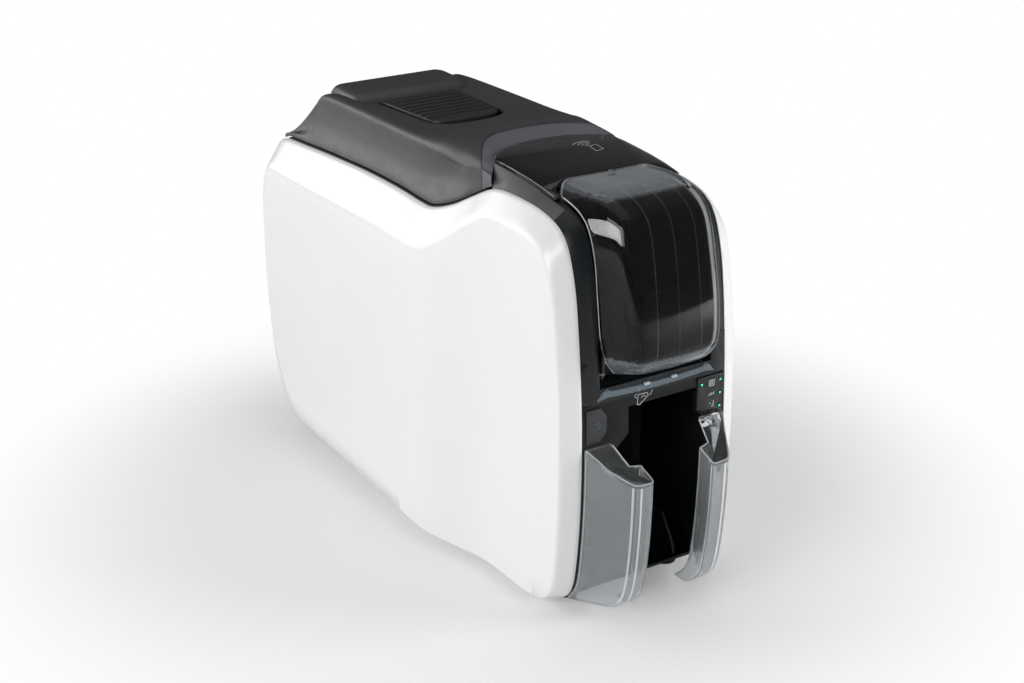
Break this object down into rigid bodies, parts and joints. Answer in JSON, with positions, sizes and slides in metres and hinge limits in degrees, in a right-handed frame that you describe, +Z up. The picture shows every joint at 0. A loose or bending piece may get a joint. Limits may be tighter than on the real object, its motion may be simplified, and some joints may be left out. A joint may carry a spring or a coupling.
{
  "type": "id card printer",
  "caption": "Compact desktop card printer: white waisted side panels, dark hinged top cover, clear front feeder door and clear output wings.",
  "frame": {"origin": "on the floor under the middle of the width and length", "axes": "+X to the right seen from the front, front faces -Y, +Z up"},
  "size_m": [0.157, 0.3921, 0.2659],
  "materials": {
    "gloss white": "gloss white ABS",
    "satin black": "satin textured black ABS",
    "gloss black": "gloss black",
    "grey band": "satin grey",
    "smoked clear": "clear smoked polycarbonate",
    "light guide": "translucent light guide",
    "led green": "lit green lens",
    "steel": "plated steel",
    "chassis steel": "zinc-plated sheet",
    "rubber": "black rubber",
    "roller rubber": "roller rubber",
    "cleaning sleeve": "tacky cleaning sleeve",
    "brass": "sintered bronze",
    "gear nylon": "natural nylon",
    "head aluminium": "anodised",
    "ceramic": "ceramic",
    "spool": "spool plastic",
    "ribbon": "dye film",
    "board": "solder mask",
    "dark grey": "moulded dark grey"
  },
  "bodies": {
    "chassis": {"left_side_panel": "gloss white", "right_side_panel": "gloss white", "base_tray": "satin black", "rear_panel": "satin black", "top_frame": "satin black", "front_bezel": "satin black", "front_top_plate": "gloss black", "lower_face": "satin black", "light_bar": "light guide", "control_panel": "gloss black", "status_leds": "led green", "power_button_spring": "steel", "power_switch": "dark grey", "hopper_tray": "satin black", "left_output_wing": "smoked clear", "right_output_wing": "smoked clear", "feeder_magazine": "satin black", "cover_hinge_pins": "steel", "left_chassis_plate": "chassis steel", "right_chassis_plate": "chassis steel", "chassis_spacers": "steel", "lower_card_guide": "dark grey", "shaft_bushes": "brass", "drive_motor": "chassis steel", "ribbon_cassette": "dark grey", "ribbon_film": "ribbon", "ribbon_motor": "chassis steel", "circuit_board": "board", "power_inlet": "gloss black", "data_ports": "steel", "rubber_feet": "rubber", "casing_screws": "steel"},
    "top cover": {"top_cover": "satin black", "cover_inner_frame": "dark grey", "cover_arch_band": "grey band", "latch_pin": "steel", "latch_spring": "steel", "print_head": "ceramic", "print_head_bracket": "head aluminium"},
    "cover latch": {"cover_latch": "satin black"},
    "feeder door": {"feeder_door": "smoked clear", "feeder_door_liner": "gloss black", "feeder_door_pins": "steel"},
    "power button": {"power_button": "satin black"},
    "card weight": {"card_weight": "dark grey"},
    "pick roller": {"pick_roller": "roller rubber"},
    "feed roller": {"feed_roller": "roller rubber"},
    "platen roller": {"platen_roller": "roller rubber"},
    "rear roller": {"rear_roller": "roller rubber"},
    "cleaning roller": {"cleaning_roller": "cleaning sleeve"},
    "pinch roller": {"pinch_roller": "roller rubber"},
    "pick idler": {"pick_idler": "gear nylon"},
    "feed idler": {"feed_idler": "gear nylon"},
    "rear idler": {"rear_idler": "gear nylon"},
    "motor pinion": {"motor_pinion": "brass"},
    "supply spool": {"supply_spool": "spool"},
    "take-up spool": {"take_up_spool": "spool"},
    "ribbon pinion": {"ribbon_pinion": "brass"}
  },
  "joints": [
    {"name": "cover_hinge", "type": "hinge", "parent": "chassis", "child": "top cover", "pos_m": [0, 0.182, 0.216], "axis": [-1, 0, 0], "range_deg": [0, 70]},
    {"name": "latch_press", "type": "hinge", "parent": "top cover", "child": "cover latch", "pos_m": [0, 0.103, 0.253], "axis": [1, 0, 0], "range_deg": [0, 3], "stiffness_Nm_per_rad": 3, "deforming": ["latch_spring"]},
    {"name": "feeder_door_hinge", "type": "hinge", "parent": "chassis", "child": "feeder door", "pos_m": [0, -0.1635, 0.1585], "axis": [1, 0, 0], "range_deg": [0, 62]},
    {"name": "power_button_press", "type": "slide", "parent": "chassis", "child": "power button", "axis": [0, 1, 0], "range_m": [0, 0.0015], "stiffness_N_per_m": 400, "deforming": ["power_button_spring"]},
    {"name": "card_weight_lift", "type": "slide", "parent": "chassis", "child": "card weight", "axis": [0, 0, 1], "range_m": [0, 0.06]},
    {"name": "platen_spin", "type": "hinge", "parent": "chassis", "child": "platen roller", "pos_m": [0, 0, 0.159], "axis": [1, 0, 0], "continuous": true},
    {"name": "feed_idler_spin", "type": "hinge", "parent": "chassis", "child": "feed idler", "pos_m": [0, -0.039, 0.15504], "axis": [1, 0, 0], "continuous": true},
    {"name": "feed_spin", "type": "hinge", "parent": "chassis", "child": "feed roller", "pos_m": [0, -0.078, 0.159], "axis": [1, 0, 0], "continuous": true},
    {"name": "pick_idler_spin", "type": "hinge", "parent": "chassis", "child": "pick idler", "pos_m": [0, -0.09712, 0.14586], "axis": [1, 0, 0], "continuous": true},
    {"name": "pick_spin", "type": "hinge", "parent": "chassis", "child": "pick roller", "pos_m": [0, -0.112, 0.158], "axis": [1, 0, 0], "continuous": true},
    {"name": "rear_idler_spin", "type": "hinge", "parent": "chassis", "child": "rear idler", "pos_m": [0, 0.031, 0.15547], "axis": [1, 0, 0], "continuous": true},
    {"name": "rear_spin", "type": "hinge", "parent": "chassis", "child": "rear roller", "pos_m": [0, 0.062, 0.159], "axis": [1, 0, 0], "continuous": true},
    {"name": "motor_spin", "type": "hinge", "parent": "chassis", "child": "motor pinion", "pos_m": [0, 0.031, 0.13327], "axis": [1, 0, 0], "continuous": true},
    {"name": "cleaning_spin", "type": "hinge", "parent": "chassis", "child": "cleaning roller", "pos_m": [0, -0.078, 0.1724], "axis": [1, 0, 0], "continuous": true},
    {"name": "pinch_spin", "type": "hinge", "parent": "chassis", "child": "pinch roller", "pos_m": [0, 0.062, 0.1724], "axis": [1, 0, 0], "continuous": true},
    {"name": "take_up_spin", "type": "hinge", "parent": "chassis", "child": "take-up spool", "pos_m": [0, -0.042, 0.2], "axis": [1, 0, 0], "continuous": true},
    {"name": "ribbon_motor_spin", "type": "hinge", "parent": "chassis", "child": "ribbon pinion", "pos_m": [0, -0.05691, 0.18956], "axis": [1, 0, 0], "continuous": true},
    {"name": "supply_spin", "type": "hinge", "parent": "chassis", "child": "supply spool", "pos_m": [0, 0.046, 0.2], "axis": [1, 0, 0], "continuous": true}
  ],
  "couplings": [
    {"joint": "feed_idler_spin", "follows": "platen_spin", "ratio": -0.625},
    {"joint": "feed_spin", "follows": "platen_spin", "ratio": 1},
    {"joint": "pick_idler_spin", "follows": "platen_spin", "ratio": -1.875},
    {"joint": "pick_spin", "follows": "platen_spin", "ratio": 1.3636},
    {"joint": "rear_idler_spin", "follows": "platen_spin", "ratio": -0.9375},
    {"joint": "rear_spin", "follows": "platen_spin", "ratio": 1},
    {"joint": "motor_spin", "follows": "platen_spin", "ratio": 2.5},
    {"joint": "ribbon_motor_spin", "follows": "take_up_spin", "ratio": -2}
  ]
}
